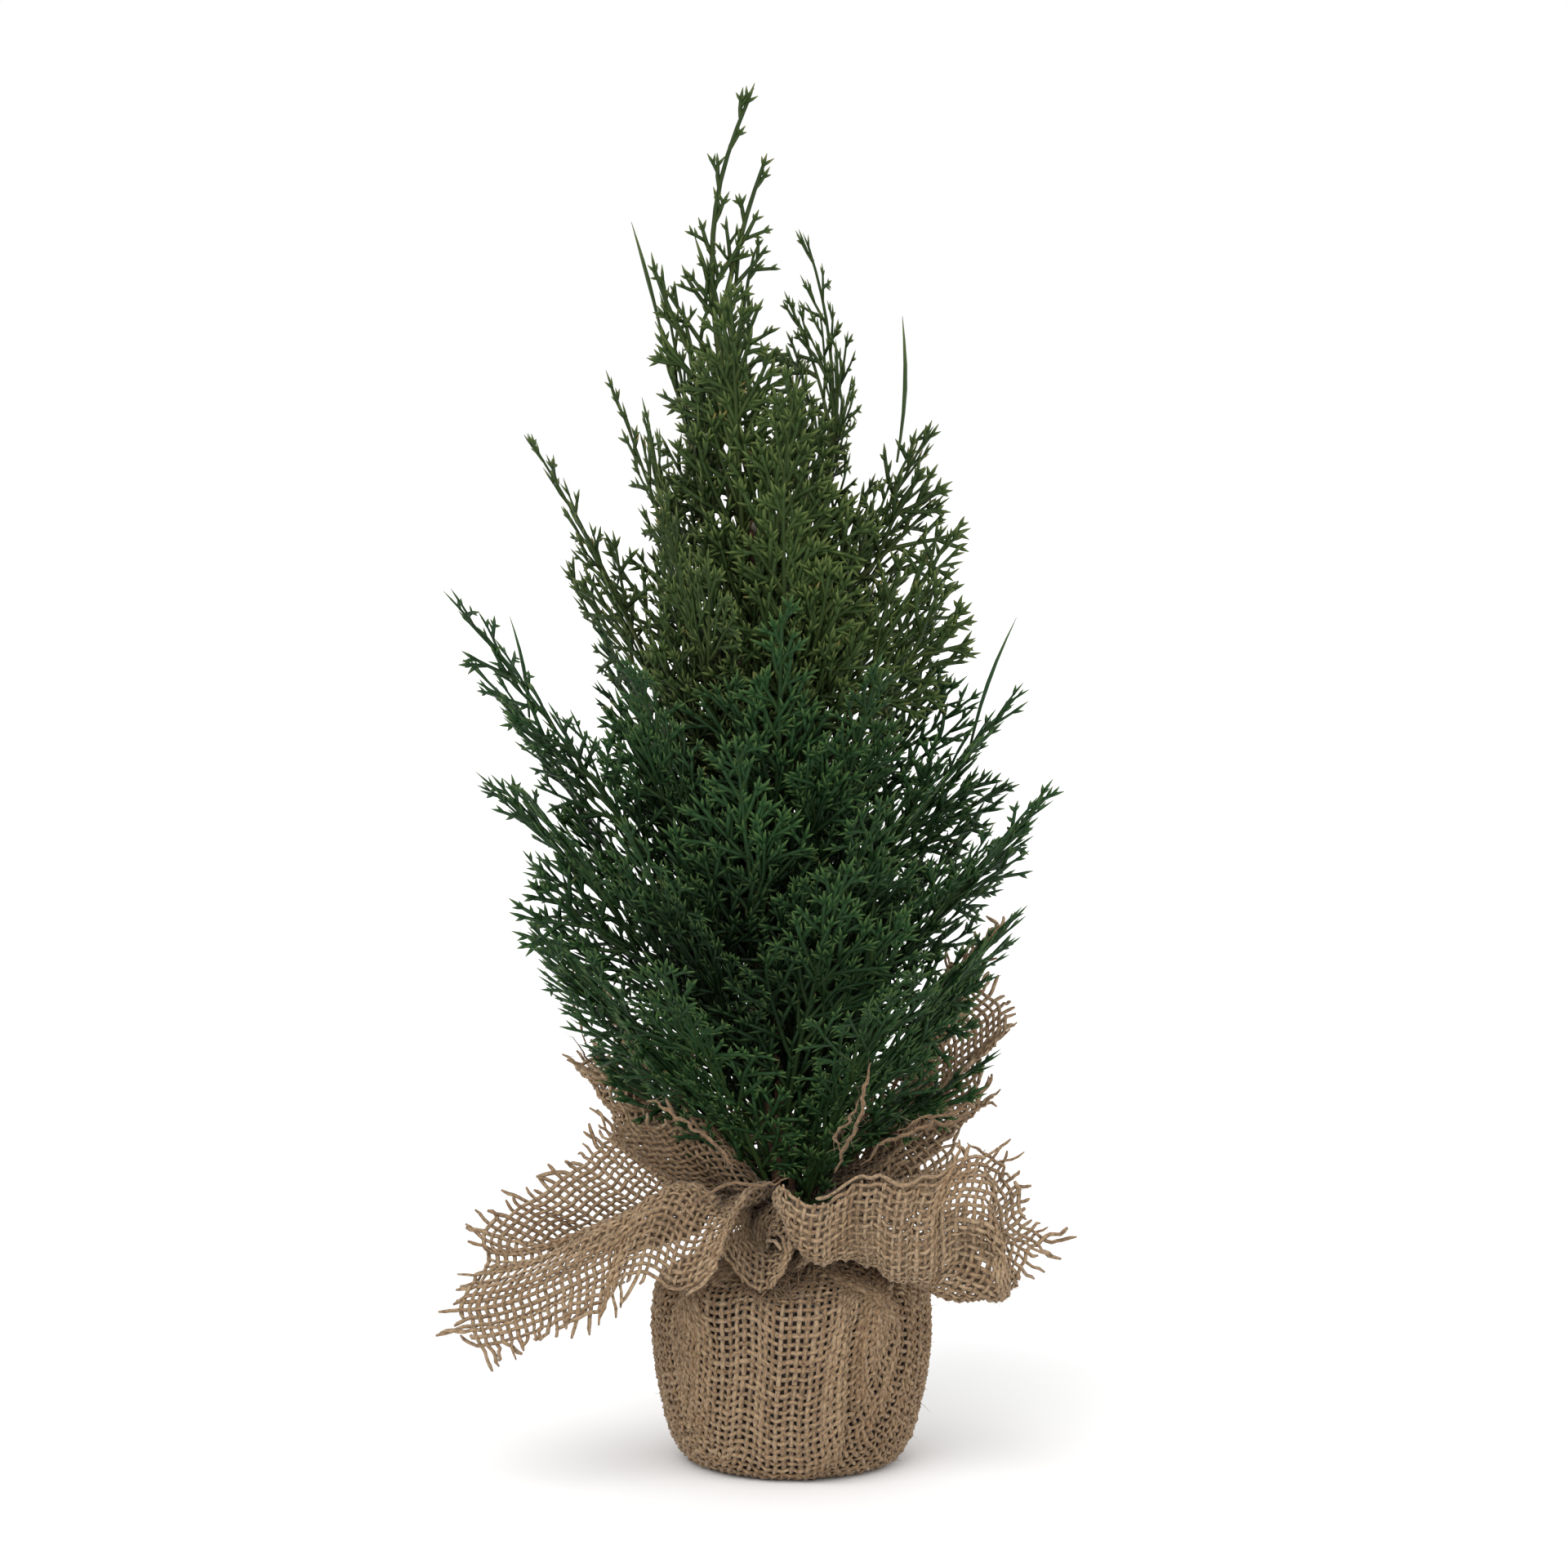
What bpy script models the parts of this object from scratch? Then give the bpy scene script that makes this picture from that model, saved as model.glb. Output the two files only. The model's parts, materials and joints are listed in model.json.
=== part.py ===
"""Artificial tabletop cedar tree: wire-stemmed moulded sprays on a taped rod, in a burlap-wrapped pot.

Blender 4.5, metres, +Z up. The tree's front faces -Y and the pot's underside rests on Z = 0.
"""

import math

import bpy
from mathutils import Matrix, Quaternion, Vector

MM = 0.001
GAP = 0.3 * MM

# Pot and plug
POT_FLOOR_RADIUS = 30.0 * MM
POT_RIM_RADIUS = 38.8 * MM
POT_HEIGHT = 50.0 * MM
POT_WALL = 1.2 * MM
POT_CLEARANCE = 1.6 * MM
CEMENT_LEVEL = 43.0 * MM

# Trunk
ROD_RADIUS = 1.8 * MM
ROD_FOOT = 9.0 * MM
ROD_TOP = 284.0 * MM
TAPE_THICKNESS = 1.2 * MM
TAPE_FOOT = 51.0 * MM
TAPE_TOP = 281.0 * MM
TRUNK_SWAY = 12.0 * MM
SWAY_FOOT = 60.0 * MM
SWAY_SPAN = 340.0 * MM
BAND_HEIGHT = 4.0 * MM
BAND_RADIUS = 5.4 * MM

# Burlap sheet, a square laid flat under the pot and gathered above it
CLOTH_THICKNESS = 1.2 * MM
NECK_RADIUS = 12.0 * MM
NECK_HEIGHT = 68.0 * MM
NECK_TOP = 71.0 * MM
CLOTH_SECTORS = 48
LOBE_RINGS = 7

# Sprays
STEM_WIDTH = 2.2 * MM
TWIG_WIDTH = 1.8 * MM
TIP_TAPER = 0.6
SPRAY_THICKNESS = 1.5 * MM
ROOT_RADIUS = 6.4 * MM
TWIG_ANGLE = math.radians(38)
TWIG_SPACING = 11.0 * MM

# name: (root height, azimuth, lean from vertical, length, width, roll about its own stem)
# Heights, lengths and widths in mm, angles in degrees. Azimuth is from +X towards +Y.
SPRAYS = {
    "sprig_front": (70, -66, 38, 46, 20, 0),
    "skirt_spray_front": (83, -86, 29, 118, 38, 0),
    "skirt_spray_front_left": (80, -124, 37, 96, 40, 0),
    "skirt_spray_left": (83, -168, 42, 104, 40, 20),
    "skirt_spray_left_low": (79, 165, 53, 70, 28, 0),
    "skirt_spray_back_left": (83, 127, 36, 98, 38, 0),
    "skirt_spray_back": (80, 90, 33, 98, 34, 0),
    "skirt_spray_back_right": (83, 54, 29, 98, 36, 0),
    "skirt_spray_right_low": (79, 6, 55, 70, 28, 0),
    "skirt_spray_right": (83, -12, 39, 106, 36, -20),
    "skirt_spray_front_right": (80, -52, 38, 92, 35, 0),
    "low_spray_front": (109, -98, 24, 120, 38, 0),
    "low_spray_front_left": (106, -140, 31, 104, 38, 0),
    "low_spray_left": (109, -176, 40, 124, 40, 30),
    "low_spray_back_left": (106, 152, 36, 128, 40, 20),
    "low_spray_back": (109, 108, 26, 110, 38, 0),
    "low_spray_back_right": (106, 68, 31, 110, 36, 0),
    "low_spray_right_back": (109, 25, 38, 106, 35, -20),
    "low_spray_right": (106, -12, 37, 118, 38, -30),
    "low_spray_front_right": (109, -54, 28, 104, 38, 0),
    "middle_spray_front": (140, -87, 20, 122, 36, 0),
    "middle_spray_front_left": (137, -135, 24, 112, 36, 0),
    "middle_spray_left": (140, -178, 38, 143, 40, 35),
    "middle_spray_back_left": (137, 142, 30, 130, 38, 20),
    "middle_spray_back": (140, 96, 20, 120, 38, 0),
    "middle_spray_back_right": (137, 46, 30, 126, 36, -20),
    "middle_spray_right": (140, -7, 38, 110, 36, -35),
    "middle_spray_front_right": (137, -46, 25, 112, 36, 0),
    "upper_spray_front": (174, -76, 15, 120, 36, 0),
    "upper_spray_front_left": (171, -134, 15, 120, 36, 0),
    "upper_spray_left": (174, 178, 24, 142, 38, 40),
    "upper_spray_back_left": (171, 130, 20, 126, 36, 0),
    "upper_spray_back_right": (174, 56, 19, 122, 36, 0),
    "upper_spray_right": (171, -14, 26, 118, 36, -35),
    "high_spray_front": (207, -100, 10, 114, 34, 0),
    "high_spray_left": (204, 176, 15, 124, 34, 40),
    "high_spray_back_right": (207, 58, 17, 128, 34, 0),
    "high_spray_right": (204, -8, 22, 112, 34, -35),
    "crown_spray_left": (243, 168, 13, 126, 30, 55),
    "crown_spray_back": (240, 84, 7, 142, 28, 0),
    "crown_spray_right": (243, -24, 9, 121, 30, 50),
    "crown_spray_front": (240, -108, 8, 108, 28, 0),
    "leader_spray": (288, 180, 4, 118, 32, 90),
}

# Piece groups: (colour, roughness, metallic)
FINISHES = {
    "burlap": ((0.35, 0.23, 0.13), 0.95, 0.0),
    "foliage": ((0.035, 0.085, 0.04), 0.6, 0.0),
    "pot_plastic": ((0.02, 0.02, 0.02), 0.5, 0.0),
    "cement": ((0.42, 0.4, 0.37), 0.9, 0.0),
    "rod_steel": ((0.3, 0.3, 0.3), 0.4, 1.0),
    "florist_tape": ((0.12, 0.07, 0.035), 0.8, 0.0),
    "clear_glue": ((0.6, 0.57, 0.5), 0.25, 0.0),
    "tie_wire": ((0.03, 0.03, 0.025), 0.5, 1.0),
}


def clear_scene():
    for obj in list(bpy.data.objects):
        bpy.data.objects.remove(obj, do_unlink=True)


def new_collection(name, hidden=False):
    collection = bpy.data.collections.new(name)
    bpy.context.scene.collection.children.link(collection)
    collection.hide_render = hidden
    return collection


def finish(name, kind):
    """A Principled material of one piece, in its group's colour."""
    colour, roughness, metallic = FINISHES[kind]
    material = bpy.data.materials.new(name)
    material.use_nodes = True
    shader = material.node_tree.nodes["Principled BSDF"]
    shader.inputs["Base Color"].default_value = (*colour, 1.0)
    shader.inputs["Roughness"].default_value = roughness
    shader.inputs["Metallic"].default_value = metallic
    material.diffuse_color = (*colour, 1.0)
    return material


def add_object(name, data, collection, kind=None):
    obj = bpy.data.objects.new(name, data)
    collection.objects.link(obj)
    if kind:
        data.materials.append(finish(name, kind))
    return obj


def turned(name, profile, collection, kind=None, steps=32):
    """A closed or axis-to-axis profile, (radius, height) from top to bottom outside, turned about Z."""
    closed = profile[0][0] > 0 and profile[-1][0] > 0
    count = len(profile)
    edges = [(i, i + 1) for i in range(count - 1)] + ([(count - 1, 0)] if closed else [])
    mesh = bpy.data.meshes.new(name)
    mesh.from_pydata([(r, 0, z) for r, z in profile], edges, [])
    obj = add_object(name, mesh, collection, kind)
    screw = obj.modifiers.new("Turn", "SCREW")
    screw.steps = screw.render_steps = steps
    screw.use_merge_vertices = True
    screw.merge_threshold = 0.00001
    screw.use_smooth_shade = True
    return obj


def poly_curve(name, points, radius, collection, kind, capped=True, sides=2):
    """A wire along straight runs between points."""
    curve = bpy.data.curves.new(name, "CURVE")
    curve.dimensions = "3D"
    curve.bevel_depth = radius
    curve.bevel_resolution = sides
    curve.use_fill_caps = capped
    spline = curve.splines.new("POLY")
    spline.points.add(len(points) - 1)
    for point, place in zip(spline.points, points):
        point.co = (*place, 1.0)
    return add_object(name, curve, collection, kind)


def cut(obj, cutter):
    boolean = obj.modifiers.new("Cut", "BOOLEAN")
    boolean.operation = "DIFFERENCE"
    boolean.solver = "EXACT"
    boolean.object = cutter


def trunk_at(height):
    """The centre of the trunk, which sways a little to the left."""
    share = min(max((height - SWAY_FOOT) / SWAY_SPAN, 0.0), 1.0)
    return Vector((-TRUNK_SWAY * math.sin(math.pi * share), 0, height))


def trunk_line(foot, top, runs):
    return [trunk_at(foot + (top - foot) * i / runs) for i in range(runs + 1)]


def build_pot(parts, cutters):
    base = POT_CLEARANCE
    inner_floor = POT_FLOOR_RADIUS - 0.8 * MM
    inner_rim = POT_RIM_RADIUS - POT_WALL
    turned(
        "pot_cup",
        [
            (0, base + POT_WALL),
            (inner_floor - 3 * MM, base + POT_WALL),
            (inner_floor + 0.6 * MM, base + 3.2 * MM),
            (inner_floor + 2.6 * MM, base + 7.2 * MM),
            (inner_rim, POT_HEIGHT),
            (POT_RIM_RADIUS, POT_HEIGHT),
            (POT_RIM_RADIUS, POT_HEIGHT - 4 * MM),
            (POT_FLOOR_RADIUS + 2.8 * MM, base + 7.2 * MM),
            (POT_FLOOR_RADIUS, base + 2.6 * MM),
            (POT_FLOOR_RADIUS - 3.5 * MM, base),
            (0, base),
        ],
        parts,
        "pot_plastic",
    )
    foot = base + POT_WALL + GAP
    rise = (CEMENT_LEVEL - base) / (POT_HEIGHT - base)
    plug_top = inner_floor + (inner_rim - inner_floor) * rise
    shoulder = base + 7.5 * MM
    plug = turned(
        "cement_weight",
        [
            (0, CEMENT_LEVEL),
            (plug_top - 3 * MM, CEMENT_LEVEL),
            (plug_top - 1.2 * MM, CEMENT_LEVEL - 1.5 * MM),
            (inner_floor + 1.6 * MM, shoulder),
            (inner_floor - 4.5 * MM, foot),
            (0, foot),
        ],
        parts,
        "cement",
    )
    bpy.ops.mesh.primitive_cylinder_add(
        vertices=24,
        radius=ROD_RADIUS + GAP,
        depth=CEMENT_LEVEL,
        location=(0, 0, ROD_FOOT - GAP + CEMENT_LEVEL / 2),
    )
    hole = bpy.context.object
    hole.name = "rod_hole_cutter"
    for home in list(hole.users_collection):
        home.objects.unlink(hole)
    cutters.objects.link(hole)
    hole.hide_render = True
    hole.display_type = "WIRE"
    cut(plug, hole)


def build_trunk(parts):
    rod = [Vector((0, 0, ROD_FOOT)), Vector((0, 0, SWAY_FOOT))]
    rod += trunk_line(SWAY_FOOT, ROD_TOP, 10)[1:]
    poly_curve("trunk_rod", rod, ROD_RADIUS, parts, "rod_steel")

    reach = ROD_RADIUS + GAP + TAPE_THICKNESS
    runs = [Vector((0, 0, TAPE_FOOT)), Vector((0, 0, SWAY_FOOT))]
    runs += trunk_line(SWAY_FOOT, TAPE_TOP, 10)[1:]
    wrap = poly_curve("trunk_wrap", runs, reach, parts, "florist_tape", capped=False)
    solid = wrap.modifiers.new("Tape", "SOLIDIFY")
    solid.thickness = TAPE_THICKNESS
    solid.offset = -1
    solid.use_even_offset = True

    inside = reach + GAP + 0.25 * MM
    for number, tier in enumerate(("skirt", "low", "middle", "upper", "high", "crown"), 1):
        heights = [s[0] for name, s in SPRAYS.items() if name.startswith(tier)]
        top = min(heights) * MM - STEM_WIDTH / 2 - GAP - 1.2 * MM
        band = turned(
            f"binding_band_{number}_{tier}",
            [
                (inside, 0),
                (BAND_RADIUS - 0.4 * MM, 0),
                (BAND_RADIUS, -0.6 * MM),
                (BAND_RADIUS, -BAND_HEIGHT + 0.6 * MM),
                (BAND_RADIUS - 0.4 * MM, -BAND_HEIGHT),
                (inside, -BAND_HEIGHT),
            ],
            parts,
            "florist_tape",
            steps=20,
        )
        band.location = trunk_at(top)

    turned(
        "glue_collar",
        [
            (ROD_RADIUS + GAP, CEMENT_LEVEL + 6.5 * MM),
            (ROD_RADIUS + 1.8 * MM, CEMENT_LEVEL + 6.2 * MM),
            (6 * MM, CEMENT_LEVEL + 3.2 * MM),
            (10 * MM, CEMENT_LEVEL + GAP + 0.6 * MM),
            (10 * MM, CEMENT_LEVEL + GAP),
            (ROD_RADIUS + GAP, CEMENT_LEVEL + GAP),
        ],
        parts,
        "clear_glue",
        steps=24,
    )
    bpy.ops.mesh.primitive_uv_sphere_add(segments=12, ring_count=8, radius=1.9 * MM)
    bead = bpy.context.object
    bead.name = bead.data.name = "glue_bead"
    for home in list(bead.users_collection):
        home.objects.unlink(bead)
    parts.objects.link(bead)
    bead.data.materials.append(finish("glue_bead", "clear_glue"))
    bead.location = trunk_at(TAPE_TOP - 4 * MM) + Vector((1.0 * MM, -reach - 2.3 * MM, 0))


# Where the sheet goes above the neck: azimuth, then (radius, height) in mm along its length.
# Corners run 110 mm past the neck, the middles of the sides 43 mm.
CORNER_PATHS = {
    -135: (-157, [(12, 71), (27, 88), (47, 97), (68, 93), (88, 78), (103, 62), (112, 48)]),
    -45: (-33, [(12, 71), (26, 88), (42, 98), (58, 97), (72, 88), (82, 76), (91, 66)]),
    45: (37, [(12, 71), (27, 77), (41, 89), (53, 104), (64, 121), (75, 140), (85, 160)]),
    135: (145, [(12, 71), (27, 76), (42, 86), (55, 98), (65, 111), (73, 125), (79, 139)]),
}
MIDDLE_PATHS = {
    -90: (-88, [(12, 71), (15, 74), (20, 79), (26, 83), (33, 85), (40, 86), (46, 84)]),
    0: (2, [(12, 71), (17, 73), (24, 77), (31, 80), (38, 82), (45, 82), (52, 80)]),
    90: (90, [(12, 71), (16, 74), (21, 80), (27, 85), (33, 90), (39, 95), (44, 100)]),
    -180: (180, [(12, 71), (17, 73), (24, 77), (31, 80), (38, 81), (45, 80), (51, 76)]),
}


def path_point(path, share):
    """A point on a (radius, height) path, by its share of the path's steps."""
    place = share * (len(path) - 1)
    step = min(int(place), len(path) - 2)
    a, b = Vector(path[step]), Vector(path[step + 1])
    return (a + (b - a) * (place - step)) * MM


def half_turn(degrees):
    """The same heading, from -180 up to but not including 180."""
    return (degrees + 180) % 360 - 180


def lobe_point(angle, share):
    """A point of the sheet above the neck, for an angle on the flat sheet in degrees."""
    side = round(angle / 90) * 90
    offset = angle - side
    corner = side + (45 if offset >= 0 else -45)
    side_turn, side_path = MIDDLE_PATHS[half_turn(side)]
    corner_turn, corner_path = CORNER_PATHS[half_turn(corner)]
    reach = (1 / math.cos(math.radians(offset)) - 1) / (math.sqrt(2) - 1)
    lean = (reach + math.sin(math.pi / 2 * abs(offset) / 45) ** 2) / 2
    swing = half_turn(corner_turn - side_turn) * abs(offset) / 45
    turn = angle + share * half_turn(side_turn + swing - angle)
    place = path_point(side_path, share).lerp(path_point(corner_path, share), lean)
    heading = math.radians(turn)
    return Vector((place.x * math.cos(heading), place.x * math.sin(heading), place.y))


def build_burlap(parts):
    """The sheet: turned as a bag up to its neck, then its corners drawn out as lobes."""
    bag = [
        (0, CLOTH_THICKNESS),
        (27.0 * MM, CLOTH_THICKNESS),
        (31.6 * MM, 3.2 * MM),
        (34.4 * MM, 8.0 * MM),
        (36.2 * MM, 14.5 * MM),
        (38.4 * MM, 26.0 * MM),
        (39.8 * MM, 40.0 * MM),
        (39.8 * MM, 51.0 * MM),
        (37.6 * MM, 54.5 * MM),
        (28.5 * MM, 58.5 * MM),
        (18.5 * MM, 62.0 * MM),
        (NECK_RADIUS, 65.5 * MM),
        (NECK_RADIUS, NECK_TOP),
    ]
    lobes = [(NECK_RADIUS, NECK_TOP + (i + 1) * MM) for i in range(LOBE_RINGS)]
    profile = (bag + lobes)[::-1]
    sheet = turned("burlap_wrap", profile, parts, "burlap", steps=CLOTH_SECTORS)
    bpy.context.view_layer.update()
    turned_mesh = bpy.data.meshes.new_from_object(
        sheet.evaluated_get(bpy.context.evaluated_depsgraph_get())
    )
    sheet.modifiers.clear()
    sheet.data = turned_mesh
    turned_mesh.name = "burlap_wrap"
    for vertex in turned_mesh.vertices:
        ring = round((vertex.co.z - NECK_TOP) / MM)
        if ring > 0 and math.hypot(vertex.co.x, vertex.co.y) < NECK_RADIUS + MM:
            angle = math.degrees(math.atan2(vertex.co.y, vertex.co.x))
            vertex.co = lobe_point(angle, ring / LOBE_RINGS)
    solid = sheet.modifiers.new("Cloth", "SOLIDIFY")
    solid.thickness = CLOTH_THICKNESS
    solid.offset = 1
    return sheet


def build_tie(parts):
    """Fine wire, one turn and a bit round the neck."""
    around = NECK_RADIUS + CLOTH_THICKNESS + 1.2 * MM
    turns = [(i / 24, i * 15) for i in range(31)]
    points = [
        Vector(
            (
                around * math.cos(math.radians(70 + degrees)),
                around * math.sin(math.radians(70 + degrees)),
                NECK_HEIGHT - 1.2 * MM + 2.0 * MM * share,
            )
        )
        for share, degrees in turns
    ]
    poly_curve("neck_tie", points, 0.5 * MM, parts, "tie_wire", sides=1)


def twig_corners(along, reach, side):
    """The four corners a twig adds to its side of the outline, from the stem out and back."""
    heading = Vector((math.sin(TWIG_ANGLE), math.cos(TWIG_ANGLE)))
    normal = Vector((math.cos(TWIG_ANGLE), -math.sin(TWIG_ANGLE))) * TWIG_WIDTH / 2
    start = Vector((0, along))
    tip = start + heading * reach / math.sin(TWIG_ANGLE)
    leave = (STEM_WIDTH / 2 - normal.x) / heading.x
    rejoin = (STEM_WIDTH / 2 + normal.x) / heading.x
    corners = [
        start + normal + heading * leave,
        tip + normal * TIP_TAPER,
        tip - normal * TIP_TAPER,
        start - normal + heading * rejoin,
    ]
    return [(side * corner.x, corner.y) for corner in corners]


def spray_outline(length, width):
    """A flat frond: a stem with alternate twigs, up one edge and down the other."""
    count = max(int(length * 0.72 / TWIG_SPACING), 3)
    sides = {1: [], -1: []}
    for number in range(count):
        along = length * (0.2 + 0.66 * number / (count - 1))
        share = min(along / (0.45 * length), 2.6 * (1.05 - along / length), 1.0)
        reach = width / 2 * share
        side = 1 if number % 2 else -1
        sides[side] += [twig_corners(along, reach, side)]
    half = STEM_WIDTH / 2
    outline = [(half, -half)]
    outline += [corner for twig in sides[1] for corner in twig]
    outline += [(half * TIP_TAPER, length), (-half * TIP_TAPER, length)]
    outline += [corner for twig in reversed(sides[-1]) for corner in reversed(twig)]
    return outline + [(-half, -half)]


def build_spray(name, parts):
    """A flat moulding whose origin is at its stem's foot, where the wire bends."""
    height, azimuth, lean, length, width, roll = SPRAYS[name]
    curve = bpy.data.curves.new(name, "CURVE")
    curve.dimensions = "2D"
    curve.fill_mode = "BOTH"
    curve.extrude = SPRAY_THICKNESS / 2
    outline = spray_outline(length * MM, width * MM)
    spline = curve.splines.new("POLY")
    spline.points.add(len(outline) - 1)
    for point, (aside, along) in zip(spline.points, outline):
        point.co = (aside, along, 0, 1)
    spline.use_cyclic_u = True
    spray = add_object(name, curve, parts, "foliage")

    outward = math.radians(azimuth)
    out = Vector((math.cos(outward), math.sin(outward), 0))
    tilt = math.radians(lean)
    along = out * math.sin(tilt) + Vector((0, 0, math.cos(tilt)))
    across = Vector((-out.y, out.x, 0))
    across.rotate(Quaternion(along, math.radians(roll)))
    frame = Matrix((across, along, across.cross(along))).transposed().to_4x4()
    reach = 0 if name == "leader_spray" else ROOT_RADIUS
    spray.matrix_world = Matrix.Translation(trunk_at(height * MM) + out * reach) @ frame
    return spray


def main():
    clear_scene()
    parts = new_collection("artificial_cedar_tree")
    cutters = new_collection("cutters", hidden=True)
    build_pot(parts, cutters)
    build_trunk(parts)
    build_burlap(parts)
    build_tie(parts)
    for name in SPRAYS:
        build_spray(name, parts)


main()
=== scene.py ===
"""Looks of an artificial tabletop cedar: moulded sprays bound to a taped trunk, in a burlap-wrapped pot.

Metres, +Z up, front towards -Y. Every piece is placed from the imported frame.
"""

import json
import math
import random

import bpy
import numpy as np
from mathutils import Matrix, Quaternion, Vector


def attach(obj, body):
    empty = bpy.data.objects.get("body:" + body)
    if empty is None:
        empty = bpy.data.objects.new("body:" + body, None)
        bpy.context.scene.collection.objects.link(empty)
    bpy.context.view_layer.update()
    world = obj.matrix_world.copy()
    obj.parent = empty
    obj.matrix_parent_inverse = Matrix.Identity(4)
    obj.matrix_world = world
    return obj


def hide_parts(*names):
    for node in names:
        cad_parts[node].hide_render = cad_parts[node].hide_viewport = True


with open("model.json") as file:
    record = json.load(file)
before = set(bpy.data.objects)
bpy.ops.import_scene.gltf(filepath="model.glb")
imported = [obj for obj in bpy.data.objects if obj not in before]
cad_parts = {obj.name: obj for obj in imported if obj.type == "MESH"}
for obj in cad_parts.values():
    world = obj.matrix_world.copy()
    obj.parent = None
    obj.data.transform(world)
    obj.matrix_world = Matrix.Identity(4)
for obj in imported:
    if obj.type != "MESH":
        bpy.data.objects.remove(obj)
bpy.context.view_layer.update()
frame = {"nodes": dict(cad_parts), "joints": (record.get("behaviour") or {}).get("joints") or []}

MM = 0.001
NODES = frame["nodes"]

# ---------------- materials

TRUNK_SWAY = -11.0 * MM
CROWN_RADIUS = 54.0 * MM


class Paint:
    """A Principled material and short ways to add procedural nodes to it."""

    def __init__(self, name, roughness, metallic=0.0):
        self.material = bpy.data.materials.new(name)
        self.material.use_nodes = True
        self.tree = self.material.node_tree
        self.shader = self.tree.nodes["Principled BSDF"]
        self.set("Roughness", roughness)
        self.set("Metallic", metallic)
        self.place = self.node("ShaderNodeTexCoord").outputs["Object"]

    def put(self, socket, value):
        """Links another node's output to a socket, or sets a plain value on it."""
        if isinstance(value, bpy.types.NodeSocket):
            self.tree.links.new(value, socket)
        else:
            socket.default_value = value

    def set(self, name, value):
        self.put(self.shader.inputs[name], value)

    def node(self, kind, *values, **settings):
        """Adds a node with these settings, and values or links for its first sockets."""
        made = self.tree.nodes.new(kind)
        for key, value in settings.items():
            setattr(made, key, value)
        for socket, value in zip(made.inputs, values):
            self.put(socket, value)
        return made

    def mapped(self, place, scale=(1, 1, 1), rotation=(0, 0, 0)):
        return self.node("ShaderNodeMapping", place, (0, 0, 0), rotation, scale).outputs["Vector"]

    def noise(self, scale, detail=2.0, place=None):
        return self.node("ShaderNodeTexNoise", place or self.place, 0.0, scale, detail).outputs["Fac"]

    def span(self, value, low, high, to_low=0.0, to_high=1.0):
        return self.node("ShaderNodeMapRange", value, low, high, to_low, to_high).outputs["Result"]

    def blend(self, factor, a, b):
        made = self.node("ShaderNodeMix", factor, data_type="RGBA")
        colours = [socket for socket in made.inputs if socket.type == "RGBA"]
        self.put(colours[0], a)
        self.put(colours[1], b)
        return next(socket for socket in made.outputs if socket.type == "RGBA")

    def attribute(self, name, output="Fac"):
        return self.node("ShaderNodeAttribute", attribute_name=name).outputs[output]

    def calculate(self, operation, a, b):
        return self.node("ShaderNodeMath", a, b, operation=operation).outputs[0]

    def coordinates(self):
        return self.node("ShaderNodeSeparateXYZ", self.place).outputs

    def off_axis(self, x, y):
        """How far a place with these level coordinates is from the Z axis."""
        level = self.node("ShaderNodeCombineXYZ", x, y).outputs[0]
        return self.node("ShaderNodeVectorMath", level, operation="LENGTH").outputs["Value"]

    def painted_inner_shade(self):
        """Painted shade: 1 near the leaning trunk and 0 at the tree's outside, which is narrow at its foot
        and its top.
        """
        x, y, z = self.coordinates()
        aside = self.calculate("SUBTRACT", x, self.span(z, 0.07, 0.2, 0.0, TRUNK_SWAY))
        foot = self.span(z, 0.095, 0.15, 10 * MM, CROWN_RADIUS)
        top = self.span(z, 0.14, 0.33, CROWN_RADIUS, 6 * MM)
        outside = self.calculate("MINIMUM", foot, top)
        depth = self.span(self.off_axis(aside, y), 5 * MM, outside, 1.0, 0.0)
        strength = self.span(z, 0.2, 0.31, 0.97, 0.0)
        return self.calculate("MULTIPLY", self.calculate("POWER", depth, 0.6), strength)

    def painted_neck_shade(self):
        """Painted shade: 0.75 deep in the gathers at the neck, falling to 0 away from it."""
        x, y, z = self.coordinates()
        near = self.span(self.off_axis(x, y), 14 * MM, 34 * MM, 0.75, 0.0)
        above = self.calculate("MULTIPLY", near, self.span(z, 0.058, 0.064))
        return self.calculate("MULTIPLY", above, self.span(z, 0.084, 0.1, 1.0, 0.0))

    def bump(self, height, strength, distance):
        made = self.node("ShaderNodeBump")
        made.inputs["Strength"].default_value = strength
        made.inputs["Distance"].default_value = distance
        self.put(made.inputs["Height"], height)
        self.set("Normal", made.outputs["Normal"])


def srgb(red, green, blue):
    """A linear colour from 0-255 display values."""
    parts = [c / 255 for c in (red, green, blue)]
    return tuple(c / 12.92 if c <= 0.04045 else ((c + 0.055) / 1.055) ** 2.4 for c in parts) + (1.0,)


def darkened(colour, share):
    return tuple(c * share for c in colour[:3]) + (1.0,)


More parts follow.
